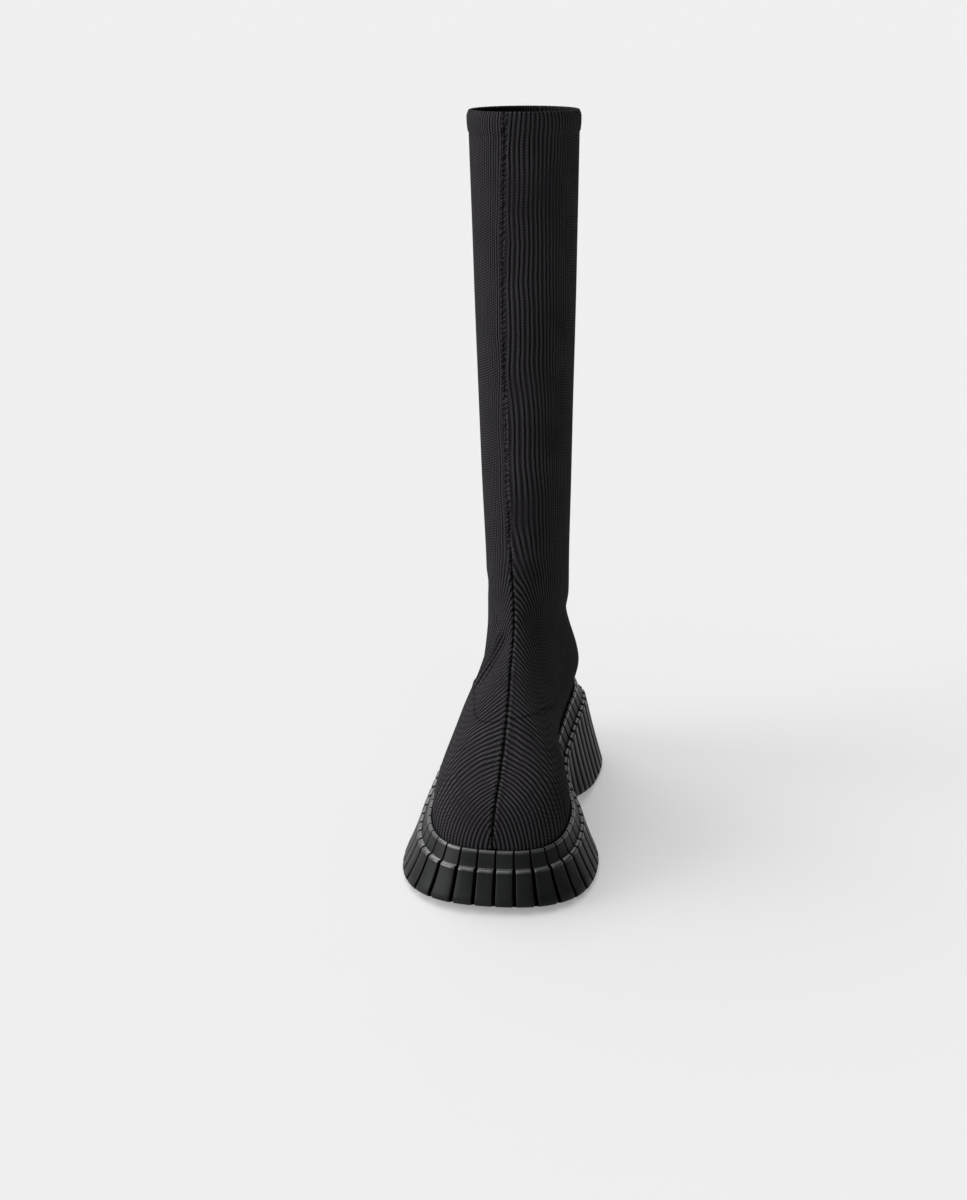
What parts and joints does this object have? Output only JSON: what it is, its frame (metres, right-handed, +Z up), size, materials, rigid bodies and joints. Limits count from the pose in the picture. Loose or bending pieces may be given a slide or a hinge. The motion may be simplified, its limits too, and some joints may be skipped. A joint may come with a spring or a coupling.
{
  "type": "knitted sock boot",
  "caption": "Tall pull-on sock boot for the right foot: seamed rib-knit shaft with a folded collar hem, on a thick flared sole cut into upright blocks.",
  "frame": {"origin": "on the floor, under the middle of the sole's bounding box", "axes": "+Z up; the toe points to -Y; the inner side of the foot is +X"},
  "size_m": [0.1208, 0.2922, 0.445],
  "materials": {
    "moulded_sole_rubber": "satin, moulded, black",
    "black_rib_knit": "matt ribbed knit, black",
    "insole_textile": "matt, black"
  },
  "bodies": {
    "root": {"outsole": "moulded_sole_rubber", "upper": "black_rib_knit", "insole": "insole_textile"}
  },
  "joints": []
}
